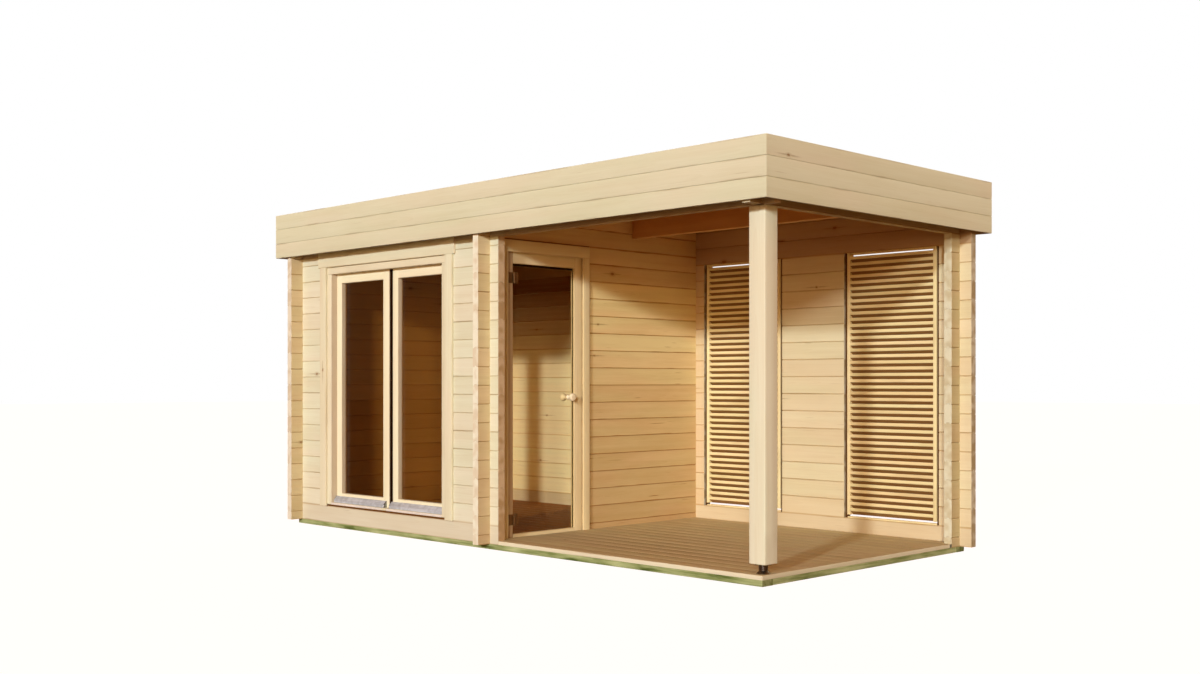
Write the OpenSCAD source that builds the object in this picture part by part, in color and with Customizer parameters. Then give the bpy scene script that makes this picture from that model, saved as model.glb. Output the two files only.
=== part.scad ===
// Log sauna cabin: a closed sauna room at the left and an open veranda at the right, under one flat roof.
// X runs along the front, Y from the front to the back, Z up. The origin is on the ground at the centre.

/* [Log walls] */
// Length of the cabin over its wall faces
cabin_l = 4508; // [4400:4:4700]
// Depth of the cabin over its wall faces
cabin_d = 2096; // [2060:4:2260]
// Thickness of a wall plank
wall_t = 54; // [50:1:58]
// Height that one plank adds to a wall
plank_h = 121; // [119:0.5:123]
// Half planks in the wall height, an odd number
half_rows = 37; // [37:2:41]
// Half planks in the beams over the veranda
beam_rows = 4; // [4:1:5]
// Depth of the V groove between two planks
groove = 4; // [2:0.5:6]
// Length of the side walls' plank ends past the front and back walls
end_front = 100; // [80:2:110]
// Length of the front and back walls' plank ends past the side walls
end_side = 82; // [60:2:100]

/* [Rooms] */
// Length of the sauna room, from the left face to the veranda face of its end wall
sauna_l = 2283; // [2240:1:2320]

/* [Base] */
// Height of a foundation beam
base_h = 35; // [30:1:45]
// Width of a foundation beam
base_w = 96; // [84:2:108]
// Thickness of the floor boards
floor_t = 24; // [20:1:28]

/* [Roof] */
// Reach of the roof past the wall faces
roof_out = 126; // [116:2:140]
// Thickness of a fascia board
fascia_t = 20; // [18:1:24]
// Height of one fascia board
fascia_board = 110; // [100:1:120]
// Fascia boards above each other
fascia_rows = 3; // [3:1:3]
// Thickness of the roof boards
deck_t = 19; // [16:1:24]
// Thickness of the roofing felt
felt_t = 5; // [4:1:8]
// Height of the fascia above the felt
parapet_h = 74; // [60:1:90]
// Thickness of a ceiling joist
joist_t = 58; // [45:1:80]
// Height of a ceiling joist
joist_h = 150; // [120:2:170]
// Distance of the joist from the front face
joist_y = 1340; // [1200:10:1500]

/* [Corner post] */
// Side of the square post
post_w = 110; // [90:2:130]
// Distance of the post behind the front face
post_back = 25; // [10:1:40]
// Height of the steel foot under the post
foot_h = 53; // [45:1:70]
// Side of the foot's top plate
foot_plate = 66; // [60:2:80]
// Thickness of the foot's top plate
foot_plate_t = 6; // [4:1:8]
// Diameter of the foot's tube
foot_tube_d = 50; // [40:1:56]
// Diameter of the foot's flared base
foot_base_d = 78; // [66:1:86]
// Height of the foot's flared base
foot_base_h = 16; // [10:1:20]

/* [Window] */
// Distance of the window frame from the left face
window_x = 365; // [340:5:390]
// Width of the window frame
window_w = 1493; // [1440:1:1540]
// Settling gap between the window frame and the beam over it
window_settle = 55.5; // [44:0.5:60]
// Width of the frame's sides and head
window_jamb = 82; // [70:1:90]
// Height of the frame's sill
window_sill = 30; // [24:1:40]
// Depth of the window frame
window_depth = 100; // [96:1:120]
// Depth of the sashes behind the wall face
sash_back = 50; // [40:1:54]
// Width of a sash's stiles and rails
sash_w = 63; // [52:1:72]
// Height of a sash's rails
sash_rail = 68; // [56:1:76]
// Thickness of a sash
sash_t = 44; // [36:1:46]
// Width of the gap between the two sashes
sash_gap = 27; // [20:1:36]
// Thickness of a window pane
pane_t = 6; // [4:1:10]
// Depth of the pane behind the sash's face
pane_back = 32; // [26:1:34]
// Height of the metal drip rail on a sash
drip_h = 70; // [60:1:74]
// Reach of the drip rail past the sash's face
drip_out = 30; // [20:1:36]
// Height of the drip rail's upright lip
drip_lip = 10; // [6:1:14]
// Depth of the drip rail's sloping top
drip_top_out = 10; // [6:1:14]
// Fall of the drip rail's sloping top
drip_top_fall = 4; // [2:1:8]

/* [Trim boards] */
// Thickness of a trim board
trim_t = 18; // [14:1:24]
// Width of the window's side trims
window_trim_w = 77; // [66:1:90]
// Height of the window's head trim
window_head_trim = 118; // [110:1:122]
// Reach of the window's head trim past the side trims
window_head_out = 22; // [10:1:30]
// Cover of a window trim over the frame
window_cover = 30; // [20:1:36]
// Width of the door's side trims
door_trim_w = 58; // [50:1:66]
// Height of the door's head trim
door_head_trim = 80; // [76:1:82]
// Cover of a door trim over the frame
door_cover = 12; // [8:1:16]
// Packing gap between a frame and the cut planks
packing = 5; // [3:1:8]

/* [Door] */
// Distance of the door frame from the front face
door_y = 132; // [120:1:160]
// Width of the door frame
door_w = 716; // [690:1:740]
// Settling gap between the door frame and the planks over it
door_settle = 73.5; // [66:0.5:78]
// Width of the door frame's jambs
door_jamb = 75; // [66:1:80]
// Height of the door frame's head
door_head = 85; // [70:1:90]
// Distance of the door frame's back from the wall's inner face
door_back_step = 14; // [10:1:18]
// Step from the wall face back to the frame's visible face
door_step = 11; // [8:1:14]
// Height of the threshold above the floor
threshold = 21; // [16:1:28]
// Width of the stop behind the glass leaf
stop_w = 15; // [12:1:20]
// Distance from the frame's visible face back to the stop
stop_back = 19; // [19:1:22]
// Clearance around the glass leaf
leaf_gap = 6; // [5:0.5:8]
// Thickness of the glass leaf
leaf_t = 8; // [6:1:8]
// Step from the frame's visible face back to the glass
leaf_back = 3; // [2:0.5:4]
// Height of the knob above the floor
knob_z = 924; // [880:1:1000]
// Distance of the knob's axis from the leaf's free edge
knob_edge = 51; // [46:1:60]
// Diameter of the wooden knob
knob_d = 54; // [44:1:60]
// Length of the knob from the glass
knob_l = 56; // [48:1:62]
// Diameter of the knob's neck
knob_neck = 24; // [18:1:30]
// Diameter of the knob's foot on the glass
knob_foot = 36; // [30:1:40]
// Diameter of the knob's flat end
knob_face = 32; // [24:1:38]
// Height of the knob's foot
knob_foot_l = 8; // [5:1:10]
// Height of the knob's neck above the glass
knob_neck_l = 20; // [16:1:22]
// Length of the knob's rounded end
knob_end_l = 10; // [6:1:12]
// Height of a hinge
hinge_h = 72; // [64:2:90]
// Height of the hinge's moving knuckle
knuckle_h = 43; // [36:1:50]
// Clearance above and below the moving knuckle
knuckle_gap = 1; // [0.5:0.1:1.5]
// Distance of a hinge's middle from the end of the leaf
hinge_end = 90; // [80:5:160]
// Diameter of the hinge pin
hinge_pin_d = 8; // [6:1:9]
// Outer diameter of the hinge knuckle
knuckle_d = 16; // [14:1:17]
// Distance of the hinge knuckle from the frame's visible face
knuckle_off = 2; // [1:0.5:3]
// Radial clearance of the hinge pin in its knuckle
pin_play = 0.1; // [0.05:0.01:0.1]
// Length of a hinge plate
hinge_plate = 38; // [30:1:44]
// Overlap of a hinge lug with its plate
lug_lap = 3; // [2:0.5:4]
// Thickness of a hinge plate
hinge_plate_t = 3; // [2:0.5:3]

/* [Louvre panels] */
// Width of the opening for a louvre panel
louvre_w = 733; // [700:1:760]
// Distance of the first opening from the sauna's end wall
louvre_x = 81; // [60:1:100]
// Planks below the louvre openings
sill_rows = 1; // [1:1:2]
// Half planks above the louvre openings
louvre_top_rows = 5; // [5:2:7]
// Distance of the second opening from the right face
louvre_end = 150; // [130:1:170]
// Shadow gap around a louvre panel
louvre_gap = 22; // [16:1:26]
// Width of a louvre panel's stiles
stile_w = 24; // [20:1:32]
// Depth of a louvre panel
louvre_depth = 44; // [36:1:48]
// Distance from one slat to the next
slat_pitch = 42; // [40:0.5:46]
// Height of a slat's upright edge
slat_edge = 21; // [18:0.5:22]
// Fall of a slat from its inner to its outer edge
slat_fall = 25; // [22:0.5:28]
// Height of a fixing block beside a louvre panel
block_h = 60; // [40:2:80]
// Depth of a fixing block beside a louvre panel
block_d = 16; // [12:1:20]

/* [Hidden] */

$fn = 48;
// Overrun of a cut past a face
over = 1;
// Difference below which two heights count as the same, in planks
same = 0.001;

// Faces of the walls
x_left = -cabin_l / 2;
x_right = cabin_l / 2;
y_front = -cabin_d / 2;
y_back = cabin_d / 2;
x_left_in = x_left + wall_t;
x_right_in = x_right - wall_t;
y_front_in = y_front + wall_t;
y_back_in = y_back - wall_t;
x_end = x_left + sauna_l;
x_end_in = x_end - wall_t;

// Heights
half_h = plank_h / 2;
z_floor = base_h + floor_t;
z_wall_top = base_h + half_rows * half_h;
z_beam = z_wall_top - beam_rows * half_h;
z_sill = base_h + sill_rows * plank_h;
z_louvre_top = z_wall_top - louvre_top_rows * half_h;
z_joist = z_wall_top - joist_h;
z_roof = z_wall_top + deck_t;
z_felt = z_roof + felt_t;
fascia_h = fascia_rows * fascia_board;
z_fascia_top = z_felt + parapet_h;
z_fascia = z_fascia_top - fascia_h;

// Ends of the planks past the crossings
x_ends = x_left - end_side;
x_ends_r = x_right + end_side;
y_ends = y_front - end_front;
y_ends_b = y_back + end_front;
// The front wall's plank ends past the end wall
x_stub = x_end + end_side;

// Outline of the roof
roof_l = cabin_l + 2 * roof_out;
roof_d = cabin_d + 2 * roof_out;
deck_l = roof_l - 2 * fascia_t;
deck_d = roof_d - 2 * fascia_t;

// Window
window_x0 = x_left + window_x;
window_x1 = window_x0 + window_w;
window_hole_x0 = window_x0 - packing;
window_hole_x1 = window_x1 + packing;
window_top = z_beam - window_settle;
window_h = window_top - z_sill;
sash_x0 = window_x0 + window_jamb;
sash_x1 = window_x1 - window_jamb;
sash_width = (sash_x1 - sash_x0 - sash_gap) / 2;
sash_z0 = z_sill + window_sill;
sash_z1 = window_top - window_jamb;
pane_w = sash_width - 2 * sash_w;
pane_h = sash_z1 - sash_z0 - 2 * sash_rail;
window_trim_x0 = window_x0 + window_cover - window_trim_w;
window_trim_x1 = window_x1 - window_cover + window_trim_w;
window_trim_top = window_top - window_cover;

// Door
door_y0 = y_front + door_y;
door_y1 = door_y0 + door_w;
door_hole_y0 = door_y0 - packing;
door_hole_y1 = door_y1 + packing;
door_top = z_beam - door_settle;
way_y0 = door_y0 + door_jamb;
way_y1 = door_y1 - door_jamb;
way_z0 = z_floor + threshold;
way_z1 = door_top - door_head;
door_back = x_end_in + door_back_step;
door_face = x_end - door_step;
stop_face = door_face - stop_back;
leaf_face = door_face - leaf_back;
leaf_y0 = way_y0 + leaf_gap;
leaf_y1 = way_y1 - leaf_gap;
leaf_z0 = way_z0 + leaf_gap;
leaf_z1 = way_z1 - leaf_gap;
door_trim_y0 = door_y0 + door_cover;
door_trim_y1 = door_y1 - door_cover;
door_trim_z = door_top - door_cover;

// Hinges: the pin's axis stands in front of the gap between the jamb and the glass
pin_x = door_face + knuckle_d / 2 + knuckle_off;
pin_y = way_y0 + leaf_gap / 2;
hinge_z = [leaf_z0 + hinge_end, leaf_z1 - hinge_end];
lug_h = (hinge_h - knuckle_h) / 2 - knuckle_gap;

// Louvre openings
louvre_1 = x_end + louvre_x;
louvre_2 = x_right - louvre_end - louvre_w;
louvre_y = y_back_in + (wall_t - louvre_depth) / 2;
slats = floor((z_louvre_top - z_sill - 2 * louvre_gap) / slat_pitch);

// First joint line of the front and back walls, and of the side walls
joint_front = base_h + plank_h;
joint_side = base_h + half_h;

// Outline of a stack of planks in thickness and height, with a V groove at each joint
function joints(z0, z1, first) = [for (z = [first : plank_h : z1 - over]) if (z > z0 + over) z];
function starts_on_joint(z, first) = abs((z - first) / plank_h - round((z - first) / plank_h)) < same;
function face_points(z0, z1, first) = concat(
    starts_on_joint(z0, first) ? [[groove, z0], [0, z0 + groove]] : [[0, z0]],
    [for (z = joints(z0, z1, first)) each [[0, z - groove], [groove, z], [0, z + groove]]],
    starts_on_joint(z1, first) ? [[0, z1 - groove], [groove, z1]] : [[0, z1]]
);
function mirrored(points) = [for (i = [len(points) - 1 : -1 : 0]) [wall_t - points[i][0], points[i][1]]];

module stack_outline(z0, z1, first) {
    face = face_points(z0, z1, first);
    polygon(concat(face, mirrored(face)));
}

// Planks that run along X, from x0 to x1, with their outer face at y
module planks_x(x0, x1, y, z0, z1) {
    translate([x0, y, 0])
        rotate([90, 0, 90])
            linear_extrude(x1 - x0)
                stack_outline(z0, z1, joint_front);
}

// Planks that run along Y, from y0 to y1, with their left face at x
module planks_y(y0, y1, x, z0, z1) {
    translate([x, y1, 0])
        rotate([90, 0, 0])
            linear_extrude(y1 - y0)
                stack_outline(z0, z1, joint_side);
}

// Notches in planks along X, where the side wall with its left face at x passes through
module notches_x(x, y) {
    for (i = [1 : 2 : half_rows - 1])
        translate([x, y - over, base_h + i * half_h])
            cube([wall_t, wall_t + 2 * over, half_h]);
}

// Notches in planks along Y, where the front or back wall with its outer face at y passes through
module notches_y(x, y) {
    for (i = [0 : 2 : half_rows - 1])
        translate([x - over, y, base_h + i * half_h])
            cube([wall_t + 2 * over, wall_t, half_h]);
}

module foundation_front() {
    color("#8d9650")
        translate([x_left, y_front, 0])
            cube([cabin_l, base_w, base_h]);
}

module foundation_back() {
    color("#8d9650")
        translate([x_left, y_back - base_w, 0])
            cube([cabin_l, base_w, base_h]);
}

// A foundation beam from the front beam to the back beam
module cross_beam(x) {
    translate([x, y_front + base_w, 0])
        cube([base_w, cabin_d - 2 * base_w, base_h]);
}

module foundation_left() {
    color("#6a7032")
        cross_beam(x_left);
}

module foundation_right() {
    color("#6a7032")
        cross_beam(x_right - base_w);
}

module foundation_middle() {
    color("#6a7032")
        cross_beam(x_end - base_w);
}

// The sauna floor runs on into the doorway, up to the foot of the door frame
module sauna_floor() {
    color("#c79a63") {
        translate([x_left_in, y_front_in, base_h])
            cube([x_end_in - x_left_in, y_back_in - y_front_in, floor_t]);
        translate([x_end_in - over, door_y0, base_h])
            cube([door_back_step + over, door_w, floor_t]);
    }
}

// The veranda floor runs out to the open edges and round the planks of the right back corner
module veranda_floor() {
    color("#ae8656")
        difference() {
            translate([x_end, y_front, base_h])
                cube([x_right - x_end, y_back_in - y_front, floor_t]);
            translate([x_end, y_front, base_h - over])
                cube([end_side, wall_t, floor_t + 2 * over]);
            translate([x_right_in, y_back_in - end_front, base_h - over])
                cube([wall_t + over, end_front + over, floor_t + 2 * over]);
        }
}

module front_wall_sill_plank() {
    color("#eedab5")
        difference() {
            planks_x(x_ends, x_stub, y_front, base_h, z_sill);
            notches_x(x_left, y_front);
            notches_x(x_end_in, y_front);
        }
}

module front_wall_left() {
    color("#eedab5")
        difference() {
            planks_x(x_ends, window_hole_x0, y_front, z_sill, z_beam);
            notches_x(x_left, y_front);
        }
}

module front_wall_right() {
    color("#eedab5")
        difference() {
            planks_x(window_hole_x1, x_stub, y_front, z_sill, z_beam);
            notches_x(x_end_in, y_front);
        }
}

module front_beam() {
    color("#e3c898")
        difference() {
            planks_x(x_ends, x_ends_r, y_front, z_beam, z_wall_top);
            notches_x(x_left, y_front);
            notches_x(x_end_in, y_front);
            notches_x(x_right_in, y_front);
        }
}

module left_wall() {
    color("#d8b684")
        difference() {
            planks_y(y_ends, y_ends_b, x_left, base_h, z_wall_top);
            notches_y(x_left, y_front);
            notches_y(x_left, y_back_in);
        }
}

module back_wall_sill_plank() {
    color("#e6cfa4")
        difference() {
            planks_x(x_ends, x_ends_r, y_back_in, base_h, z_sill);
            notches_x(x_left, y_back_in);
            notches_x(x_end_in, y_back_in);
            notches_x(x_right_in, y_back_in);
        }
}

module back_wall_sauna() {
    color("#e6cfa4")
        difference() {
            planks_x(x_ends, louvre_1, y_back_in, z_sill, z_louvre_top);
            notches_x(x_left, y_back_in);
            notches_x(x_end_in, y_back_in);
        }
}

module back_wall_between() {
    color("#e6cfa4")
        planks_x(louvre_1 + louvre_w, louvre_2, y_back_in, z_sill, z_louvre_top);
}

module back_wall_right() {
    color("#e6cfa4")
        difference() {
            planks_x(louvre_2 + louvre_w, x_ends_r, y_back_in, z_sill, z_louvre_top);
            notches_x(x_right_in, y_back_in);
        }
}

module back_wall_top() {
    color("#e6cfa4")
        difference() {
            planks_x(x_ends, x_ends_r, y_back_in, z_louvre_top, z_wall_top);
            notches_x(x_left, y_back_in);
            notches_x(x_end_in, y_back_in);
            notches_x(x_right_in, y_back_in);
        }
}

module end_wall_front() {
    color("#cfac78")
        difference() {
            planks_y(y_ends, door_hole_y0, x_end_in, base_h, z_beam);
            notches_y(x_end_in, y_front);
        }
}

module end_wall_rear() {
    color("#cfac78")
        difference() {
            planks_y(door_hole_y1, y_ends_b, x_end_in, base_h, z_beam);
            notches_y(x_end_in, y_back_in);
        }
}

module end_wall_top() {
    color("#cfac78")
        difference() {
            planks_y(y_ends, y_ends_b, x_end_in, z_beam, z_wall_top);
            notches_y(x_end_in, y_front);
            notches_y(x_end_in, y_back_in);
        }
}

module right_corner_planks() {
    color("#cfac78")
        difference() {
            planks_y(y_back_in - end_front, y_ends_b, x_right_in, base_h, z_beam);
            notches_y(x_right_in, y_back_in);
        }
}

module right_beam() {
    color("#cfac78")
        difference() {
            planks_y(y_ends, y_ends_b, x_right_in, z_beam, z_wall_top);
            notches_y(x_right_in, y_front);
            notches_y(x_right_in, y_back_in);
        }
}

module ceiling_joists() {
    color("#8a5a2c") {
        translate([x_left_in, y_front + joist_y, z_joist])
            cube([x_end_in - x_left_in, joist_t, joist_h]);
        translate([x_end, y_front + joist_y, z_joist])
            cube([x_right_in - x_end, joist_t, joist_h]);
    }
}

module roof_boards() {
    color("#b98a52")
        translate([-deck_l / 2, -deck_d / 2, z_wall_top])
            cube([deck_l, deck_d, deck_t]);
}

module roof_felt() {
    color("#5b5d5e")
        translate([-deck_l / 2, -deck_d / 2, z_roof])
            cube([deck_l, deck_d, felt_t]);
}

// One side of the fascia, mitred at both ends, with its outer face at y = 0
module fascia(length) {
    translate([0, 0, z_fascia])
        linear_extrude(fascia_h)
            polygon([
                [-length / 2, 0],
                [length / 2, 0],
                [length / 2 - fascia_t, fascia_t],
                [-length / 2 + fascia_t, fascia_t]
            ]);
}

module fascia_front() {
    color("#f0deba")
        translate([0, -roof_d / 2, 0])
            fascia(roof_l);
}

module fascia_back() {
    color("#f0deba")
        translate([0, roof_d / 2, 0])
            rotate([0, 0, 180])
                fascia(roof_l);
}

module fascia_left() {
    color("#dcc08e")
        translate([-roof_l / 2, 0, 0])
            rotate([0, 0, -90])
                fascia(roof_d);
}

module fascia_right() {
    color("#dcc08e")
        translate([roof_l / 2, 0, 0])
            rotate([0, 0, 90])
                fascia(roof_d);
}

module corner_post() {
    color("#ecd9b4")
        translate([x_right - post_w, y_front + post_back, z_floor + foot_h])
            cube([post_w, post_w, z_beam - z_floor - foot_h]);
}

module post_foot() {
    color("#9a9c9e")
        translate([x_right - post_w / 2, y_front + post_back + post_w / 2, z_floor]) {
            rotate_extrude()
                polygon([
                    [0, 0], [foot_base_d / 2, 0], [foot_tube_d / 2, foot_base_h],
                    [foot_tube_d / 2, foot_h - foot_plate_t], [0, foot_h - foot_plate_t]
                ]);
            translate([-foot_plate / 2, -foot_plate / 2, foot_h - foot_plate_t])
                cube([foot_plate, foot_plate, foot_plate_t]);
        }
}

module window_frame() {
    color("#ead3a6") {
        difference() {
            translate([window_x0, y_front, z_sill])
                cube([window_w, window_depth, window_h]);
            translate([sash_x0, y_front - over, sash_z0])
                cube([sash_x1 - sash_x0, window_depth + 2 * over, sash_z1 - sash_z0]);
        }
        translate([sash_x0 + sash_width, y_front + sash_back + pane_back, sash_z0])
            cube([sash_gap, window_depth - sash_back - pane_back, sash_z1 - sash_z0]);
    }
}

module window_trim() {
    color("#f0deba")
        translate([0, y_front - trim_t, 0]) {
            for (x = [window_trim_x0, window_trim_x1 - window_trim_w])
                translate([x, 0, z_sill])
                    cube([window_trim_w, trim_t, window_trim_top - z_sill]);
            translate([window_trim_x0 - window_head_out, 0, window_trim_top])
                cube([window_trim_x1 - window_trim_x0 + 2 * window_head_out, trim_t, window_head_trim]);
        }
}

// The left edges of the two sashes
function sash_places() = [sash_x0, sash_x1 - sash_width];

module window_sashes() {
    color("#ecd6ab")
        for (x = sash_places())
            difference() {
                translate([x, y_front + sash_back, sash_z0])
                    cube([sash_width, sash_t, sash_z1 - sash_z0]);
                translate([x + sash_w, y_front + sash_back - over, sash_z0 + sash_rail])
                    cube([pane_w, sash_t + 2 * over, pane_h]);
            }
}

module window_panes() {
    color("#3d2517", 0.85)
        for (x = sash_places())
            translate([x + sash_w, y_front + sash_back + pane_back, sash_z0 + sash_rail])
                cube([pane_w, pane_t, pane_h]);
}

// Bent metal rails that throw water clear of the sill
module window_drip_rails() {
    color("#c3c7cc")
        for (x = sash_places())
            translate([x, y_front + sash_back, sash_z0])
                rotate([90, 0, 90])
                    linear_extrude(sash_width)
                        polygon([
                            [0, 0], [-drip_out, 0], [-drip_out, drip_lip],
                            [-drip_top_out, drip_h - drip_top_fall], [0, drip_h]
                        ]);
}

module door_frame() {
    color("#dcbf8d")
        difference() {
            translate([door_back, door_y0, base_h])
                cube([x_end - door_back, door_w, door_top - base_h]);
            // Step in from the strip under the trim to the visible face
            translate([door_face, door_trim_y0, base_h - over])
                cube([door_step + over, door_trim_y1 - door_trim_y0, door_trim_z - base_h + over]);
            // Rebate for the glass leaf
            translate([stop_face, way_y0, way_z0])
                cube([stop_back + over, way_y1 - way_y0, way_z1 - way_z0]);
            // Doorway between the stops
            translate([door_back - over, way_y0 + stop_w, way_z0])
                cube([wall_t, way_y1 - way_y0 - 2 * stop_w, way_z1 - way_z0 - stop_w]);
        }
}

module door_trim() {
    color("#dfbb86")
        translate([x_end, 0, 0]) {
            for (y = [door_trim_y0 - door_trim_w, door_trim_y1])
                translate([0, y, z_floor])
                    cube([trim_t, door_trim_w, door_trim_z - z_floor]);
            translate([0, door_trim_y0 - door_trim_w, door_trim_z])
                cube([trim_t, door_trim_y1 - door_trim_y0 + 2 * door_trim_w, door_head_trim]);
        }
}

// The fixed half of each hinge: a plate on the jamb, two lugs and the pin
module hinge_pins() {
    color("#b4b6b8")
        for (z = hinge_z)
            translate([pin_x, pin_y, z]) {
                translate([door_face - pin_x, -knuckle_d / 2 - hinge_plate, -hinge_h / 2])
                    cube([hinge_plate_t, hinge_plate, hinge_h]);
                for (end = [-1, 1])
                    translate([0, 0, end * (hinge_h - lug_h) / 2 - lug_h / 2]) {
                        cylinder(d = knuckle_d, h = lug_h);
                        translate([door_face - pin_x, -knuckle_d / 2 - lug_lap, 0])
                            cube([knuckle_d / 2, knuckle_d / 2, lug_h]);
                    }
                translate([0, 0, -hinge_h / 2])
                    cylinder(d = hinge_pin_d, h = hinge_h);
            }
}

module door_glass() {
    color("#8a5a2e", 0.6)
        translate([leaf_face - leaf_t, leaf_y0, leaf_z0])
            cube([leaf_t, leaf_y1 - leaf_y0, leaf_z1 - leaf_z0]);
}

// The moving half of each hinge: a knuckle on the pin and two plates that hold the glass
module hinge_clamps() {
    color("#b4b6b8")
        for (z = hinge_z)
            translate([pin_x, pin_y, z])
                difference() {
                    union() {
                        translate([0, 0, -knuckle_h / 2])
                            cylinder(d = knuckle_d, h = knuckle_h);
                        translate([leaf_face - pin_x, leaf_y0 - pin_y, -knuckle_h / 2])
                            cube([pin_x - leaf_face, knuckle_d / 2 - leaf_y0 + pin_y, knuckle_h]);
                        translate([leaf_face - pin_x, leaf_y0 - pin_y, -hinge_h / 2])
                            cube([hinge_plate_t, hinge_plate, hinge_h]);
                        translate([leaf_face - leaf_t - hinge_plate_t - pin_x, leaf_y0 - pin_y, -hinge_h / 2])
                            cube([hinge_plate_t, hinge_plate, hinge_h]);
                    }
                    translate([0, 0, -knuckle_h / 2 - over])
                        cylinder(d = hinge_pin_d + 2 * pin_play, h = knuckle_h + 2 * over);
                }
}

// A turned wooden knob that stands on the glass along +Z
module knob() {
    rotate_extrude()
        polygon([
            [0, 0], [knob_foot / 2, 0], [knob_neck / 2, knob_foot_l], [knob_neck / 2, knob_neck_l],
            [knob_d / 2, (knob_neck_l + knob_l) / 2], [knob_d / 2, knob_l - knob_end_l],
            [knob_face / 2, knob_l], [0, knob_l]
        ]);
}

module door_knobs() {
    color("#d9b27c")
        translate([leaf_face, leaf_y1 - knob_edge, z_floor + knob_z]) {
            rotate([0, 90, 0])
                knob();
            translate([-leaf_t, 0, 0])
                rotate([0, -90, 0])
                    knob();
        }
}

// One louvre panel in the opening that starts at x: two stiles, the slats, and the blocks that hold it
module louvre_panel(x) {
    panel_x0 = x + louvre_gap;
    panel_x1 = x + louvre_w - louvre_gap;
    panel_z0 = z_sill + louvre_gap;
    panel_h = z_louvre_top - z_sill - 2 * louvre_gap;
    first = panel_z0 + (panel_h - slats * slat_pitch) / 2 + (slat_pitch - slat_edge) / 2 + slat_fall / 2;
    for (edge = [panel_x0, panel_x1 - stile_w])
        translate([edge, louvre_y, panel_z0])
            cube([stile_w, louvre_depth, panel_h]);
    for (i = [0 : slats - 1])
        translate([panel_x0 + stile_w - over, louvre_y, first + i * slat_pitch])
            rotate([90, 0, 90])
                linear_extrude(panel_x1 - panel_x0 - 2 * stile_w + 2 * over)
                    polygon([
                        [0, 0], [0, slat_edge],
                        [louvre_depth, slat_edge - slat_fall], [louvre_depth, -slat_fall]
                    ]);
    for (edge = [x, panel_x1])
        for (z = [panel_z0, (z_sill + z_louvre_top - block_h) / 2, panel_z0 + panel_h - block_h])
            translate([edge, louvre_y + louvre_depth - block_d, z])
                cube([louvre_gap, block_d, block_h]);
}

module louvre_panel_left() {
    color("#dcbc88")
        louvre_panel(louvre_1);
}

module louvre_panel_right() {
    color("#dcbc88")
        louvre_panel(louvre_2);
}

foundation_front();
foundation_back();
foundation_left();
foundation_right();
foundation_middle();
sauna_floor();
veranda_floor();
front_wall_sill_plank();
front_wall_left();
front_wall_right();
front_beam();
left_wall();
back_wall_sill_plank();
back_wall_sauna();
back_wall_between();
back_wall_right();
back_wall_top();
end_wall_front();
end_wall_rear();
end_wall_top();
right_corner_planks();
right_beam();
ceiling_joists();
roof_boards();
roof_felt();
fascia_front();
fascia_back();
fascia_left();
fascia_right();
corner_post();
post_foot();
window_frame();
window_trim();
window_sashes();
window_panes();
window_drip_rails();
door_frame();
door_trim();
hinge_pins();
door_glass();
hinge_clamps();
door_knobs();
louvre_panel_left();
louvre_panel_right();
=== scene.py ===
"""Looks of the log sauna cabin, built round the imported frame.

Every wooden part is made of single planks and boards, and each of them has its own grain and tone.
Sizes and places are metres and come from the frame.
"""

import math
import random

import bmesh
import bpy
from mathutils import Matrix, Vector


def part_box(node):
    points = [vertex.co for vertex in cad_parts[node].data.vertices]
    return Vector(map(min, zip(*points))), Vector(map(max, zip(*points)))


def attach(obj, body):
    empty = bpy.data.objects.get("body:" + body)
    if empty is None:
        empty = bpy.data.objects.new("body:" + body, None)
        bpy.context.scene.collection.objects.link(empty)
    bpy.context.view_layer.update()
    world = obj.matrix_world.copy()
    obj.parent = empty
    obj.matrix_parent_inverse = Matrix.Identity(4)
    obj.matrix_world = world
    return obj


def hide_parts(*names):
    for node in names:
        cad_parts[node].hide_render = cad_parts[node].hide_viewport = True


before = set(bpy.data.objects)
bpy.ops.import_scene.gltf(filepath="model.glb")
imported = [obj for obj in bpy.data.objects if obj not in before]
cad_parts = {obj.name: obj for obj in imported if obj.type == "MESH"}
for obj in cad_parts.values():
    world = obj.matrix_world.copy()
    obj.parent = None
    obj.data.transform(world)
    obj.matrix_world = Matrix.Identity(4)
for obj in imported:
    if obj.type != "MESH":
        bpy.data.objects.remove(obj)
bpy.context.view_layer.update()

RIGHT = Vector((1, 0, 0))
BACK = Vector((0, 1, 0))
UP = Vector((0, 0, 1))

# Corners closer than SAME share one place. Lengths and shares of a plank under TINY don't count.
SAME = 0.0005
TINY = 0.001


# ------------------------ places in the frame

def places(node, axis, keep=None):
    """Sorted places along an axis where a CAD node has corners. keep(corner) picks those that count."""
    corners = [v.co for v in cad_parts[node].data.vertices]
    found = sorted(c[axis] for c in corners if keep is None or keep(c))
    return [p for i, p in enumerate(found) if i == 0 or p - found[i - 1] > SAME]


def grid(node):
    """A CAD node's places along X, Y and Z."""
    return [places(node, axis) for axis in range(3)]


sill_low, sill_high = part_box("front_wall_sill_plank")
corner_low, corner_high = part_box("right_corner_planks")

plank_height = sill_high.z - sill_low.z
wall_thickness = corner_high.x - corner_low.x
# The side walls' joints lie half a plank off those of the front and the back
joint_front = sill_high.z
joint_side = sill_low.z + plank_height / 2


# ------------------------ shader maths

def operator(operation, reflected=False):
    """One of Python's operators, as a method of Value."""
    def method(self, other):
        return self.apply(operation, other, self) if reflected else self.apply(operation, self, other)
    return method


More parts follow.
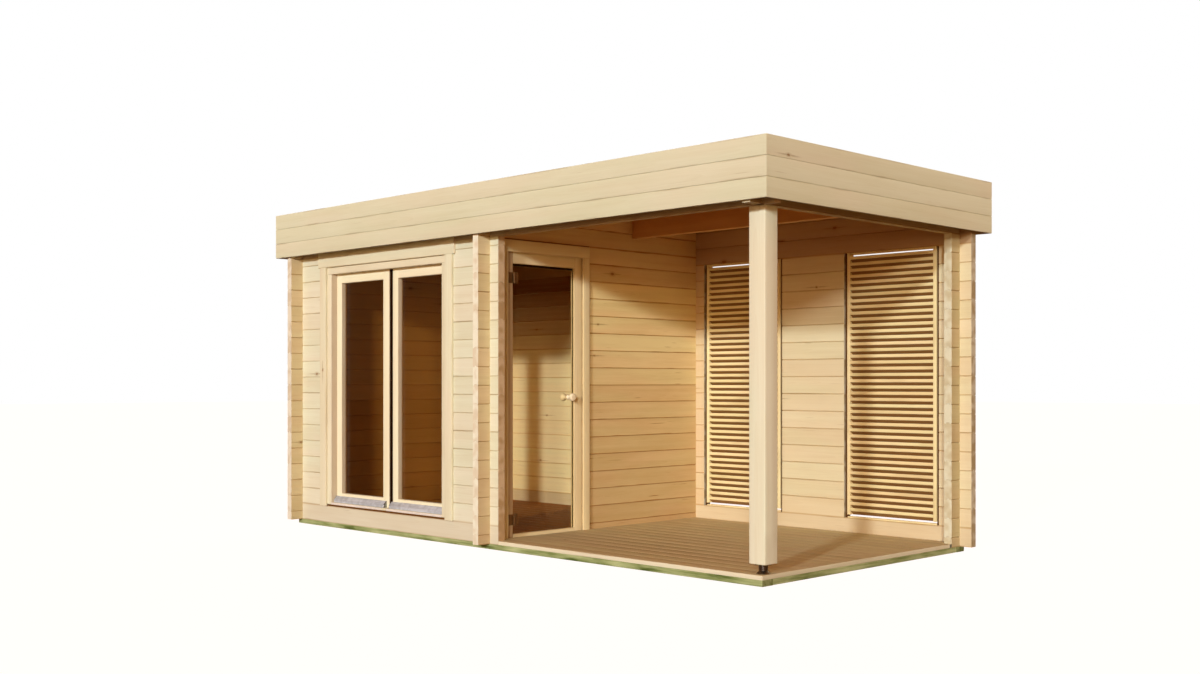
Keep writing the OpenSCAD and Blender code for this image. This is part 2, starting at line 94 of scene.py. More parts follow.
class Value:
    """The output of a shader node. Arithmetic on it adds Math nodes, or Vector Math nodes on a vector."""

    def __init__(self, paint, socket):
        self.paint = paint
        self.socket = socket

    def output(self, name):
        """Another output of the same node."""
        return Value(self.paint, self.socket.node.outputs[name])

    def vector(self):
        return self.socket.type in ("VECTOR", "RGBA")

    def apply(self, operation, first, second):
        """The node for one operation. A number beside a vector counts for each of its three parts."""
        terms = [first, second]
        if any(isinstance(v, Vector) or isinstance(v, Value) and v.vector() for v in terms):
            terms = [Vector((v, v, v)) if isinstance(v, (int, float)) else v for v in terms]
            return self.paint.node("ShaderNodeVectorMath", dict(enumerate(terms)), operation=operation)
        return self.paint.math(operation, *terms)

    __add__ = operator("ADD")
    __radd__ = operator("ADD", reflected=True)
    __sub__ = operator("SUBTRACT")
    __rsub__ = operator("SUBTRACT", reflected=True)
    __mul__ = operator("MULTIPLY")
    __rmul__ = operator("MULTIPLY", reflected=True)
    __truediv__ = operator("DIVIDE")
    __rtruediv__ = operator("DIVIDE", reflected=True)
    __pow__ = operator("POWER")
    __rpow__ = operator("POWER", reflected=True)


class Paint:
    """The nodes of one material, or of the world."""

    def __init__(self, made):
        if isinstance(made, str):
            made = bpy.data.materials.new(made)
            made.use_nodes = True
        self.made = made
        self.tree = made.node_tree
        self.tree.nodes.clear()

    def node(self, kind, sockets=None, output=0, **settings):
        """Adds a node: its settings first, then numbers or links for its sockets."""
        made = self.tree.nodes.new(kind)
        for name, setting in settings.items():
            setattr(made, name, setting)
        for key, value in (sockets or {}).items():
            if isinstance(value, Value):
                self.tree.links.new(value.socket, made.inputs[key])
            else:
                made.inputs[key].default_value = value
        return None if output is None else Value(self, made.outputs[output])

    def math(self, operation, *values):
        return self.node("ShaderNodeMath", dict(enumerate(values)), operation=operation)

    def mix(self, mask, low, high):
        """The colour low where the mask is 0 and high where it is 1."""
        return self.node("ShaderNodeMix", {0: mask, 6: low, 7: high}, 2, data_type="RGBA")

    def blend(self, mask, first, second):
        """The first shader where the mask is 0 and the second where it is 1."""
        return self.node("ShaderNodeMixShader", {0: mask, 1: first, 2: second})

    def noise(self, vector, scale=1.0, detail=2.0, roughness=0.5):
        sockets = {"Vector": vector, "Scale": scale, "Detail": detail, "Roughness": roughness}
        return self.node("ShaderNodeTexNoise", sockets)

    def attribute(self, name, output="Fac"):
        return self.node("ShaderNodeAttribute", None, output, attribute_name=name)

    def spot(self):
        """Where a point lies on its piece, in metres."""
        return self.node("ShaderNodeTexCoord", None, "Object")

    def split(self, vector):
        """A vector's X. The Y and Z are other outputs of the same node."""
        return self.node("ShaderNodeSeparateXYZ", {0: vector})

    def fade(self, value, low, high):
        """0 at low, 1 at high, smooth between them and held beyond them."""
        sockets = {"Value": value, "From Min": low, "From Max": high}
        return self.node("ShaderNodeMapRange", sockets, interpolation_type="SMOOTHSTEP")

    def bump(self, height, distance, strength=1.0):
        sockets = {"Height": height, "Distance": distance, "Strength": strength}
        return self.node("ShaderNodeBump", sockets)

    def finish(self, shader, kind="ShaderNodeOutputMaterial"):
        self.node(kind, {"Surface": shader}, None)
        return self.made

    def surface(self, sockets):
        """The finished material, with one Principled shader."""
        return self.finish(self.node("ShaderNodeBsdfPrincipled", sockets))


def colour(red, green, blue):
    """A colour written in the usual 0 to 255 steps, as the shader's linear light."""
    def light(step):
        share = step / 255
        return share / 12.92 if share <= 0.04045 else ((share + 0.055) / 1.055) ** 2.4
    return (light(red), light(green), light(blue), 1.0)


# ------------------------ materials

# The colour of painted shade: wood goes towards it where it stands in shade
PAINTED_SHADE = (140, 74, 22)


def wood(name, pale, deep, rings=0.5, streaks=0.5, tones=0.5, knots=0.5, stains=0.5,
         joints=0.0, cut_pale=(238, 222, 198), cut_deep=(200, 168, 130), painted_shade=PAINTED_SHADE):
    """Planed softwood from pale to deep. The grain follows the attributes that each board carries. rings,
    streaks, tones, knots, stains and joints are how strongly each of them shows. The last argument is the
    colour of painted shade, which faces go towards as far as they carry painted shade."""
    paint = Paint(name)
    grain = paint.attribute("grain", "Vector")
    side = paint.split(paint.attribute("side", "Vector"))
    tone = paint.attribute("tone")
    cut = paint.attribute("end_grain")
    second = paint.math("FRACT", tone * 7.3)
    edge = paint.math("MINIMUM", side, side.output("Y"))

    # Knots: a few cells along a board hold one, with a resin streak on both sides of it
    cell = Vector((0.46, 0.105, 1))
    lattice = grain * Vector((1 / cell.x, 1 / cell.y, 0))
    lattice = lattice + paint.node("ShaderNodeCombineXYZ", {0: tone * 57, 1: tone * 31})
    sockets = {"Vector": lattice, "Scale": 1.0, "Randomness": 0.8}
    site = paint.node("ShaderNodeTexVoronoi", sockets, voronoi_dimensions="2D")
    away = (lattice - site.output("Position")) * (cell * 0.5 + Vector((0, cell.y * 0.5, 0)))
    wander = paint.noise(grain, 60, 2)
    reach = paint.node("ShaderNodeVectorMath", {0: away}, "Value", operation="LENGTH")
    reach = reach + (wander - 0.5) * 0.008
    draw = paint.node("ShaderNodeSeparateColor", {0: site.output("Color")})
    present = paint.math("GREATER_THAN", draw, 1 - 0.09 * knots)
    size = 0.004 + draw.output("Green") * 0.008
    knot = paint.fade(reach / size, 1.3, 0.5) * present
    halo = paint.fade(reach / size, 2.6, 1.0) * present
    offset = paint.split(away)
    tail = paint.fade(paint.math("ABSOLUTE", offset.output("Y")) + (wander - 0.5) * 0.006, 0.007, 0.001)
    tail = tail * paint.fade(paint.math("ABSOLUTE", offset), 0.07, 0.01) * present
    swirl = present * 0.010 / (1 + (reach / 0.022) ** 2)

    # Growth rings round the pith, with the taper of the trunk
    ring_width = 0.0042
    along = paint.split(grain)
    across = along.output("Y")
    through = along.output("Z")
    slow = paint.noise(grain * Vector((1.3, 7, 7)))
    radius = paint.math("SQRT", across * across + through * through)
    radius = radius + (slow - 0.5) * 0.016 + along * 0.007 + swirl
    late = paint.math("FRACT", radius / ring_width) ** 3

    # Clouds, streaks and fibres along the board
    cloud = paint.noise(grain * Vector((1.5, 8, 8)))
    broad = paint.noise(grain * Vector((0.9, 30, 30)), 1, 3, 0.6)
    fibre = paint.noise(grain * Vector((9, 420, 420)))
    share = late * (0.30 * rings) + (fibre - 0.5) * (0.5 * streaks) + (broad - 0.5) * (1.3 * streaks)
    share = share + (tone - 0.5) * (0.7 * tones) + (cloud - 0.5) * (1.5 * tones) + 0.30
    share = paint.math("MINIMUM", paint.math("MAXIMUM", share, 0.0), 1.0)
    face = paint.mix(share, colour(*pale), colour(*deep))
    olive = [p * k for p, k in zip(pale, (0.955, 0.975, 0.93))]
    rosy = [p * k for p, k in zip(pale, (1.0, 0.955, 0.94))]
    drift = paint.noise(grain * Vector((1.1, 5, 5)) + 9.0, 1, 1)
    hue = paint.mix(paint.fade(drift + (second - 0.5) * 0.3, 0.38, 0.62), colour(*olive), colour(*rosy))
    face = paint.mix(0.55 * tones, face, hue)

    # Resin stains run along some joints and in thin streaks. Joints, knots and dark sides lie over them
    run = paint.noise(grain * Vector((2.3, 3, 3)) + 4.0)
    stain = paint.fade(run, 0.50, 0.66) * paint.fade(edge + (fibre - 0.5) * 0.004, 0.011, 0.002)
    streak = paint.noise(grain * Vector((2.6, 95, 95)) + 2.0, 1, 2, 0.6)
    stain = paint.math("MAXIMUM", stain, paint.fade(streak, 0.69, 0.78) * 0.7)
    dark = [d * k for d, k in zip(deep, (0.72, 0.60, 0.42))]
    face = paint.mix(stain * stains, face, colour(*dark))
    groove = [d * k for d, k in zip(deep, (0.90, 0.80, 0.62))]
    face = paint.mix(paint.fade(edge, 0.0075, 0.003) * joints, face, colour(*groove)) if joints else face
    resin = [d * 0.5 + p * 0.4 for d, p in zip(dark, deep)]
    face = paint.mix(paint.math("MAXIMUM", halo * 0.35, tail * 0.55), face, colour(*resin))
    face = paint.mix(knot * 0.75, face, colour(dark[0] * 0.92, dark[1] * 0.82, dark[2] * 0.75))
    # Painted shade: faces under the roof, in recesses and beside other parts go towards the shade colour
    face = paint.mix(paint.attribute("painted_shade") * (0.9 + fibre * 0.2), face, colour(*painted_shade))

    # Sawn ends: the rings show as arcs, and every end has dried in its own way
    blotch = paint.noise(grain * Vector((3, 15, 15)) + 6.0, 1, 1)
    dried = paint.fade(blotch + (second - 0.5) * 0.30, 0.34, 0.70)
    sawn = paint.mix(dried, colour(*cut_pale), colour(*cut_deep))
    sawn = paint.mix(late * 0.22, sawn, colour(*[c * 0.80 for c in cut_deep]))

    height = late * 0.5 + fibre * 0.5 - knot * 0.5
    return paint.surface({
        "Base Color": paint.mix(cut, face, sawn),
        "Roughness": 0.62 + (fibre - 0.5) * 0.16 + late * 0.06,
        "Normal": paint.bump(height, 0.0004, 0.6),
        "Specular IOR Level": 0.28,
    })


def green_timber(name):
    """Pressure-treated pine: green salts that took unevenly, with paler runs and darker ends."""
    paint = Paint(name)
    grain = paint.attribute("grain", "Vector")
    cut = paint.attribute("end_grain")
    streak = paint.noise(grain * Vector((2.4, 60, 60)), 1, 3, 0.6)
    patch = paint.noise(grain * Vector((3.2, 14, 14)), 1, 3, 0.55)
    fibre = paint.noise(grain * Vector((12, 500, 500)))
    share = paint.fade(streak * 0.55 + patch * 0.65, 0.42, 0.80)
    face = paint.mix(share, colour(116, 130, 72), colour(194, 202, 152))
    dark = paint.fade(patch, 0.40, 0.30)
    face = paint.mix(dark * 0.7, face, colour(62, 82, 24))
    face = paint.mix(cut * 0.5, face, colour(88, 92, 30))
    return paint.surface({
        "Base Color": face,
        "Roughness": 0.72 + (fibre - 0.5) * 0.2,
        "Normal": paint.bump(fibre + streak, 0.0007, 0.7),
        "Specular IOR Level": 0.25,
    })


def clear_glass(name, straight, slanting, ior, mirror=(1, 1, 1, 1)):
    """A coated pane. It lets light through, with one tint for light that meets it straight and another
    for light that slants, and it mirrors a little."""
    paint = Paint(name)
    spot = paint.spot()
    smear = paint.noise(spot * Vector((3, 3, 1.2)), 1, 3, 0.6)
    shape = paint.node("ShaderNodeNewGeometry", None, "True Normal")
    slant = paint.node("ShaderNodeLayerWeight", {"Blend": 0.5, "Normal": shape}, "Facing")
    clear = paint.node("ShaderNodeBsdfTransparent", {"Color": colour(*straight)})
    tinted = paint.node("ShaderNodeBsdfTransparent", {"Color": colour(*slanting)})
    through = paint.blend(paint.fade(slant, 0.10, 0.26), clear, tinted)
    sockets = {"Roughness": 0.0, "Color": mirror, "Normal": shape}
    gloss = paint.node("ShaderNodeBsdfAnisotropic", sockets)
    mirrored = paint.node("ShaderNodeFresnel", {"IOR": ior, "Normal": shape})
    mirrored = mirrored * (0.92 + smear * 0.16) * (1 - shape.output("Backfacing"))
    return paint.finish(paint.blend(mirrored, through, gloss))


def metal(name, tone, roughness, brushed=0.25, dull=0.2, direction=(4, 300, 300), metallic=1.0):
    """Metal with fine brush marks along it and a dull bloom."""
    paint = Paint(name)
    spot = paint.spot()
    marks = paint.noise(spot * Vector(direction))
    bloom = paint.noise(spot, 22, 3, 0.6)
    bright = colour(*tone)
    dark = colour(*[t * (1 - dull) for t in tone])
    return paint.surface({
        "Base Color": paint.mix(paint.fade(bloom * 0.5 + marks * 0.5, 0.35, 0.65), bright, dark),
        "Roughness": roughness + (marks - 0.5) * brushed + (bloom - 0.5) * 0.1,
        "Metallic": metallic,
        "Normal": paint.bump(marks, 0.0002, 0.5),
    })


def rubber(name):
    """Dark brown rubber with a dusty, slightly ribbed face. Its darkness paints the shade in the gaps where
    it sits.
    """
    paint = Paint(name)
    spot = paint.spot()
    ribs = paint.noise(spot * Vector((700, 700, 9)))
    dust = paint.noise(spot, 40, 3, 0.6)
    return paint.surface({
        "Base Color": paint.mix(paint.fade(dust, 0.40, 0.75), colour(30, 15, 5), colour(46, 25, 10)),
        "Roughness": 0.70 + (dust - 0.5) * 0.2,
        "Normal": paint.bump(ribs, 0.0004, 0.6),
        "Specular IOR Level": 0.0,
    })


def felt(name):
    """Roofing felt: slate granules in bitumen, with puddle stains."""
    paint = Paint(name)
    spot = paint.spot()
    granule = paint.noise(spot, 620, 2)
    stain = paint.noise(spot, 1.6, 4, 0.6)
    face = paint.mix(paint.fade(granule, 0.38, 0.66), colour(52, 54, 56), colour(112, 114, 114))
    face = paint.mix(paint.fade(stain, 0.5, 0.72) * 0.35, face, colour(62, 60, 56))
    return paint.surface({
        "Base Color": face,
        "Roughness": 0.86 + (granule - 0.5) * 0.12,
        "Normal": paint.bump(granule, 0.0012, 0.8),
        "Specular IOR Level": 0.3,
    })


# Sawn ends facing the front are paler and those facing right darker: partly painted light and shade, partly
# the ends' own colour
wall_ends = {"cut_pale": (213, 206, 186), "cut_deep": (178, 160, 126)}
wall_wood = wood("wall_planks", (232, 220, 188), (205, 181, 138), stains=0.45, joints=0.5, **wall_ends)
# A paler copy of the wall planks for the sauna room's back wall: painted light that brightens the sunlit
# patch inside; its outside is darkened back to the wall's tone
sauna_lit_wood = wood("sauna_wall_planks", (255, 244, 207), (250, 219, 168),
                  stains=0.45, joints=0.5, **wall_ends)
left_wood = wood("left_wall_planks", (222, 204, 166), (194, 168, 122), stains=0.45, joints=0.5,
                 cut_pale=(234, 228, 214), cut_deep=(216, 202, 180))
# A paler, cooler copy of the wall planks for the front wall: painted light in place of cool light on the
# front
front_lit_wood = wood("front_wall_planks", (232, 232, 214), (206, 193, 162), stains=0.45, joints=0.4,
                  cut_pale=(216, 188, 154), cut_deep=(188, 154, 114))
# A brighter, warmer copy of the planks for the end wall under the veranda roof: painted light, with painted
# shade low down and under the roof
end_wall_wood = wood("end_wall_planks", (254, 233, 178), (216, 182, 120),
                     streaks=0.8, stains=1.5, tones=0.7, joints=0.9)
stub_wood = wood("end_wall_stub_planks", (231, 212, 172), (194, 166, 120),
                 stains=0.6, tones=0.6, joints=0.5, cut_pale=(243, 240, 224), cut_deep=(228, 215, 192))
corner_wood = wood("right_corner_planks", (209, 195, 154), (181, 157, 114),
                   stains=0.6, tones=0.6, joints=0.5, cut_pale=(227, 223, 200), cut_deep=(207, 194, 161))
fascia_wood = wood("fascia_boards", (238, 239, 218), (214, 209, 176), knots=0.22, stains=0.35,
                   painted_shade=(110, 80, 36))
roof_wood = wood("roof_timber", (240, 190, 128), (202, 142, 82), tones=0.8)
joist_wood = wood("joist_timber", (222, 178, 120), (180, 130, 78), tones=0.8)
floor_wood = wood("floor_boards", (210, 192, 150), (170, 148, 108), streaks=0.7, knots=0.1, stains=0.2)
joinery_wood = wood("joinery_wood", (236, 232, 210), (212, 195, 160), knots=0.05, tones=0.3, stains=0.1)
sash_wood = wood("window_sash_wood", (248, 244, 220), (230, 214, 178), knots=0.0, tones=0.3, stains=0.1)
door_wood = wood("door_frame_wood", (240, 225, 186), (216, 190, 144),
                 knots=0.05, tones=0.3, stains=0.1, joints=0.3)
trim_wood = wood("trim_boards", (236, 232, 210), (212, 195, 160), knots=0.2, tones=0.4, stains=0.2)
post_wood = wood("post_timber", (243, 245, 226), (222, 213, 182), knots=0.0, stains=0.15)
louvre_wood = wood("louvre_wood", (250, 235, 188), (222, 195, 136), knots=0.0, tones=0.6, stains=0.2,
                   painted_shade=(130, 84, 32))
knob_wood = wood("knob_wood", (252, 242, 216), (234, 208, 164), knots=0.0, rings=0.8, stains=0.0)
# Dark packing: painted shadow beside the door trim, and partly painted shade under the window
packing_shadow_wood = wood("packing_strips", (112, 72, 32), (86, 52, 20), knots=0.0, stains=0.2)
# Battens whose dark colour paints the shade in the louvre gaps
batten_shadow_wood = wood("louvre_battens", (92, 58, 26), (64, 38, 14), knots=0.0, stains=0.2)
sauna_floor_wood = wood("sauna_floor_boards", (164, 100, 32), (126, 68, 18),
                        streaks=0.7, knots=0.1, stains=0.2)
treated_timber = green_timber("impregnated_timber")
along_rails = (3, 60, 60)
drip_metal = metal("drip_rail_metal", (212, 221, 238), 0.42, brushed=0.1, dull=0.16,
                   direction=along_rails, metallic=0.3)
skirt_metal = metal("drip_rail_skirt", (250, 241, 234), 0.5, brushed=0.1, dull=0.08,
                    direction=along_rails, metallic=0.1)
# The hinges' dark brown bronze sinks them into the jamb's shade: partly painted shade
hinge_metal = metal("hinge_steel", (128, 89, 47), 0.5, direction=(300, 300, 6), metallic=0.25)
foot_metal = metal("galvanised_steel", (150, 150, 156), 0.22, direction=(6, 6, 300))
shadow_seal_rubber = rubber("sash_seal")
roof_felt = felt("roofing_felt")
window_glass = clear_glass("window_glass", (255, 252, 246), (234, 214, 182), 1.5, (0.55, 0.7, 0.85, 1))
door_glass = clear_glass("door_glass", (255, 254, 251), (254, 252, 244), 1.5, (0.85, 0.70, 0.52, 1))


# ------------------------ boards

def rounded(width, depth, radius, steps=3):
    """Outline of a board: a rectangle with its four edges rounded, or bevelled with one step."""
    centres = (
        (width - radius, depth - radius, 0),
        (radius, depth - radius, 90),
        (radius, radius, 180),
        (width - radius, radius, 270),
    )
    outline = []
    for a, b, start in centres:
        for step in range(steps + 1):
            turn = math.radians(start + 90 * step / steps)
            outline.append((a + radius * math.cos(turn), b + radius * math.sin(turn)))
    return outline


def tongued(height, thickness, low_joint, high_joint):
    """Outline of a wall plank: V bevels at its joints, a tongue on top and a groove below."""
    bevel = 0.0045
    tongue = 0.009
    play = 0.0008
    gap = 0.0003
    near = thickness * 0.3
    far = thickness * 0.7
    outline = []
    if low_joint:
        outline += [(gap, thickness - bevel), (gap, far), (tongue, far), (tongue, near)]
        outline += [(gap, near), (gap, bevel), (bevel, 0)]
    else:
        outline += [(0, thickness), (0, 0)]
    if high_joint:
        top = height + tongue - play
        flat = height - gap
        outline += [(height - bevel, 0), (flat, bevel), (flat, near + play), (top, near + play)]
        outline += [(top, far - play), (flat, far - play), (flat, thickness - bevel)]
        outline += [(height - bevel, thickness)]
    else:
        outline += [(height, 0), (height, thickness)]
    if low_joint:
        outline += [(bevel, thickness)]
    return outline


def finished(name, mesh, sharp=None):
    """A mesh from mesh code. With sharp, only edges that turn by more degrees than that stay sharp."""
    made = bpy.data.meshes.new(name)
    mesh.to_mesh(made)
    mesh.free()
    if sharp:
        made.shade_smooth()
        made.set_sharp_from_angle(angle=math.radians(sharp))
    return made


def in_scene(name, data):
    made = bpy.data.objects.new(name, data)
    bpy.context.scene.collection.objects.link(made)
    return made


class Boards:
    """A piece made of boards, with edges of one radius. A board's corners keep their place in its own grain
    and their distances from its two long edges. Its faces keep its tone and their share of painted shade."""

    def __init__(self, seed, edge=0.002):
        self.edge = edge
        self.mesh = bmesh.new()
        self.grain = self.mesh.verts.layers.float_vector.new("grain")
        self.side = self.mesh.verts.layers.float_vector.new("side")
        self.tone = self.mesh.faces.layers.float.new("tone")
        self.end = self.mesh.faces.layers.float.new("end_grain")
        self.painted_shade = self.mesh.faces.layers.float.new("painted_shade")
        self.dice = random.Random(seed)

    def add(self, corner, along, across, through, length, outline, mitres=(0, 0), crop=0.0012, dice=None,
            shade=None):
        """A board from a corner, with an outline of (across, through) places. A mitre is how much an end
        comes in for each metre through the board. crop breaks the ends' sharp edges. shade(first, second)
        gives the share of painted shade on the side between those two corners of the outline."""
        dice = dice or self.dice
        width = max(a for a, b in outline)
        depth = max(b for a, b in outline)
        shift = dice.uniform(0, 40)
        pith = (width * dice.uniform(0.25, 0.75), dice.choice((-1, 1)) * dice.uniform(0.03, 0.09))
        tone = dice.random()
        rings = [(0, 0), (length, 0)]
        if crop:
            rings = [(0, crop), (crop, 0), (length - crop, 0), (length, crop)]
        loops = []
        for place, inset in rings:
            loop = []
            for a, b in outline:
                wide = width / 2 + (a - width / 2) * (1 - 2 * inset / width)
                deep = depth / 2 + (b - depth / 2) * (1 - 2 * inset / depth)
                far = place + (mitres[0] * deep if place < length / 2 else -mitres[1] * deep)
                vert = self.mesh.verts.new(corner + along * far + across * wide + through * deep)
                vert[self.grain] = (shift + far + corner.dot(along), wide - pith[0], deep - pith[1])
                vert[self.side] = (wide, width - wide, 0)
                loop.append(vert)
            loops.append(loop)
        faces = []
        for first, second in zip(loops, loops[1:]):
            for i in range(len(outline)):
                j = (i + 1) % len(outline)
                faces.append(self.mesh.faces.new((first[i], first[j], second[j], second[i])))
                faces[-1][self.painted_shade] = shade(outline[i], outline[j]) if shade else 0.0
        caps = [self.mesh.faces.new(loops[0]), self.mesh.faces.new(loops[-1])]
        for face in faces + caps:
            face[self.tone] = tone
        for face in caps:
            face[self.end] = 0.0 if any(mitres) else 1.0
        bmesh.ops.recalc_face_normals(self.mesh, faces=faces + caps)

    def box(self, low, high, along, radius=None, recess_shade=0.0, **more):
        """A board that fills the box from low to high. recess is the share of painted shade on its right
        side, where it faces into a recess.
        """
        radius = radius or self.edge
        low = Vector(low)
        size = Vector(high) - low
        others = [axis for axis in (RIGHT, BACK, UP) if axis != along]
        across, through = sorted(others, key=size.dot, reverse=True)
        outline = rounded(size.dot(across), size.dot(through), radius)
        if recess_shade:
            part = 0 if across == RIGHT else 1
            right_side = size.x - radius / 2
            more["shade"] = lambda *ends: recess_shade if min(end[part] for end in ends) > right_side else 0.0
        self.add(low, along, across, through, size.dot(along), outline, **more)

    def piece(self, name, material, nodes=(), body="cabin"):
        place_piece(name, finished(name, self.mesh, sharp=34), material, nodes, body)


def place_piece(name, mesh, material, nodes=(), body="cabin"):
    """Puts a finished mesh on its body, in the place of the CAD nodes that it stands for."""
    made = in_scene(name, mesh)
    mesh.materials.append(material)
    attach(made, body)
    if nodes:
        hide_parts(*nodes)


# ------------------------ log walls

def levels(low, high, joint):
    """The planks between two heights as (bottom, top, level). Joints lie a plank's height apart."""
    first = math.floor((low - joint) / plank_height + TINY)
    level = first
    cuts = [low]
    while joint + (level + 1) * plank_height < high - TINY:
        level += 1
        cuts.append(joint + level * plank_height)
    cuts.append(high)
    return [(cuts[i], cuts[i + 1], first + i) for i in range(len(cuts) - 1)]


def is_joint(height, joint):
    rows = (height - joint) / plank_height
    return abs(rows - round(rows)) < TINY


def log_wall(node, wall, along, joint, material, painted_shading=None, split=None):
    """The planks of one wall node. Planks of one level in a wall share their grain, so a cut level matches.
    The shade function takes a height and a place and gives how far the planks there go towards the shade
    colour on the side with the lower x or y, and on the other side. split is where they meet a cross wall:
    their two parts take their darkening by themselves."""
    low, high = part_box(node)
    through = BACK if along == RIGHT else RIGHT
    length = (high - low).dot(along)
    thickness = (high - low).dot(through)
    cuts = [0, length] if split is None else [0, split - low.dot(along), length]
    planks = Boards(node)
    for bottom, top, level in levels(low.z, high.z, joint):
        groove = is_joint(bottom, joint) and bottom > low.z + TINY
        tongue = is_joint(top, joint) and top < high.z - TINY
        outline = tongued(top - bottom, thickness, groove, tongue)
        start = Vector((low.x, low.y, bottom))
        for first_cut, second_cut in zip(cuts, cuts[1:]):
            middle = low.dot(along) + (first_cut + second_cut) / 2
            sides = painted_shading(bottom, middle) if painted_shading else (0.0, 0.0)
            planks.add(start + along * first_cut, along, UP, through, second_cut - first_cut, outline,
                       crop=0, dice=random.Random(f"{wall} {level}"),
                       shade=lambda first, second: sides[first[1] + second[1] > thickness])
    planks.piece(f"{node}_planks", material, [node])


def ramp(value, zero, one):
    """0 where the value is at zero, 1 where it is at one, even between them, and held beyond them."""
    return min(1.0, max(0.0, (value - zero) / (one - zero)))


def evenly(low_side, high_side):
    """Darkening that is the same everywhere on a side."""
    return lambda height, place: (low_side, high_side)


def low_plank_shade(height, place):
    """Painted shade on the veranda's side of the lowest planks, darker towards the bottom."""
    return (0.0, 0.20 * ramp(height, 0.9, 0.0))


def end_wall_shade(height, place):
    """Painted shade on the end wall: on the lowest planks, growing from 1.55 m down to 0.93 m,
    and under the roof.
    """
    roof_shade = 0.28 if height > 1.75 else 0.0
    return (0.0, 0.30 * ramp(height, 1.55, 0.93) + roof_shade + low_plank_shade(height, place)[1])


def between_shade(height, place):
    """Painted shade on the planks between the louvre panels, growing towards the roof."""
    return (0.10 * ramp(height, 1.45, 1.95), 0.0)


def sauna_wall_shade(height, place):
    """Painted shade on the upper part of the sauna room's back wall, and on the veranda's end of the same
    planks. Their outside is darkened evenly, back to the tone of the other back wall planks."""
    upper_shade = ramp(height, 1.10, 1.85)
    in_the_room = place < veranda_left
    return (0.95 * upper_shade if in_the_room else 0.35 + 0.15 * upper_shade, 0.14)


# What sets single nodes apart from the rest of their wall
veranda_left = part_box("end_wall_rear")[0].x
own_wood = {"back_wall_sauna": sauna_lit_wood, "end_wall_front": stub_wood}
own_split = {"back_wall_sauna": veranda_left}
# Painted shade on the beams under the fascia, the top planks, the end wall and the sauna's back wall; the
# sill planks are only darker in tone
own_shade_and_tone = {
    "front_wall_sill_plank": evenly(0.12, 0.08),
    "front_beam": evenly(0.35, 0.0),
    "back_wall_sill_plank": evenly(0.12, 0.08),
    "back_wall_sauna": sauna_wall_shade,
    "back_wall_between": between_shade,
    "back_wall_top": evenly(0.50, 0.0),
    "end_wall_front": low_plank_shade,
    "end_wall_rear": end_wall_shade,
    "end_wall_top": end_wall_shade,
    "right_beam": evenly(0.0, 0.30),
}
for wall, along, joint, material, nodes in (
    ("front", RIGHT, joint_front, front_lit_wood, (
        "front_wall_sill_plank", "front_wall_left", "front_wall_right", "front_beam",
    )),
    ("back", RIGHT, joint_front, wall_wood, (
        "back_wall_sill_plank", "back_wall_sauna", "back_wall_between", "back_wall_right", "back_wall_top",
    )),
    ("end", BACK, joint_side, end_wall_wood, ("end_wall_front", "end_wall_rear", "end_wall_top")),
    ("left", BACK, joint_side, left_wood, ("left_wall",)),
    ("right", BACK, joint_side, corner_wood, ("right_corner_planks", "right_beam")),
):
    for node in nodes:
        own = own_wood.get(node, material)
        log_wall(node, wall, along, joint, own, own_shade_and_tone.get(node), own_split.get(node))


# ------------------------ base and floors

def foundation():
    for side in ("front", "back", "left", "right", "middle"):
        node = f"foundation_{side}"
        beam = Boards(node, edge=0.004)
        beam.box(*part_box(node), RIGHT if side in ("front", "back") else BACK)
        beam.piece(f"{node}_beam", treated_timber, [node])


def floor_boards(node, material, low, high, notches=(), tongue=None, edging=0.0):
    """Boards along the front, from low to high. A notch (x0, x1, y0, y1) at a corner is left open. A tongue
    (x, y0, y1) is where boards run further right, into a doorway. edging is how thick the strips are that
    cover the front and the boards' right ends."""
    board_width = 0.118
    narrowest = 0.01
    seam = 0.0008
    lap = 0.004
    boards = Boards(node, edge=0.0025)
    front, right = low.y, high.x
    low = low + BACK * edging
    high = high - RIGHT * edging
    rows = round((high.y - low.y) / board_width)
    width = (high.y - low.y) / rows

    def lay(x0, x1, y0, y1):
        if y1 - y0 > narrowest:
            boards.box((x0, y0, low.z), (x1, y1, high.z), RIGHT)

    for row in range(rows):
        y0 = low.y + row * width + seam
        y1 = low.y + (row + 1) * width - seam
        x0 = low.x
        x1 = high.x
        if tongue:
            lay(x1 - lap, tongue[0], max(y0, tongue[1]), min(y1, tongue[2]))
        for notch_x0, notch_x1, notch_y0, notch_y1 in notches:
            if y0 < notch_y1 - TINY and y1 > notch_y0 + TINY:
                lay(notch_x0, notch_x1, max(y0, notch_y1), y1)
                lay(notch_x0, notch_x1, y0, min(y1, notch_y0))
                if notch_x0 <= low.x + TINY:
                    x0 = max(x0, notch_x1)
                else:
                    x1 = min(x1, notch_x0)
        lay(x0, x1, y0, y1)
    boards.piece(f"{node}_boards", material, [node])
    if edging:
        rim_left = max(notch[1] for notch in notches if notch[0] <= low.x + TINY)
        rim_back = min(notch[2] for notch in notches if notch[1] >= high.x)
        rim = Boards(f"{node} edging", edge=0.0015)
        rim.box((rim_left, front, low.z), (high.x, low.y, high.z), RIGHT)
        rim.box((high.x, front, low.z), (right, rim_back, high.z), BACK)
        rim.piece(f"{node}_edging", trim_wood)


foundation()
veranda_low, veranda_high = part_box("veranda_floor")
floor_boards("veranda_floor", floor_wood, veranda_low, veranda_high, [
    (veranda_low.x, sill_high.x, veranda_low.y, veranda_low.y + wall_thickness),
    (corner_low.x, veranda_high.x, corner_low.y, veranda_high.y),
], edging=0.006)
sauna_low, sauna_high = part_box("sauna_floor")
door_frame_low, door_frame_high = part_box("door_frame")
room_high = Vector((veranda_left, sauna_high.y, sauna_high.z))
floor_boards("sauna_floor", sauna_floor_wood, sauna_low, room_high,
             tongue=(sauna_high.x, door_frame_low.y, door_frame_high.y))


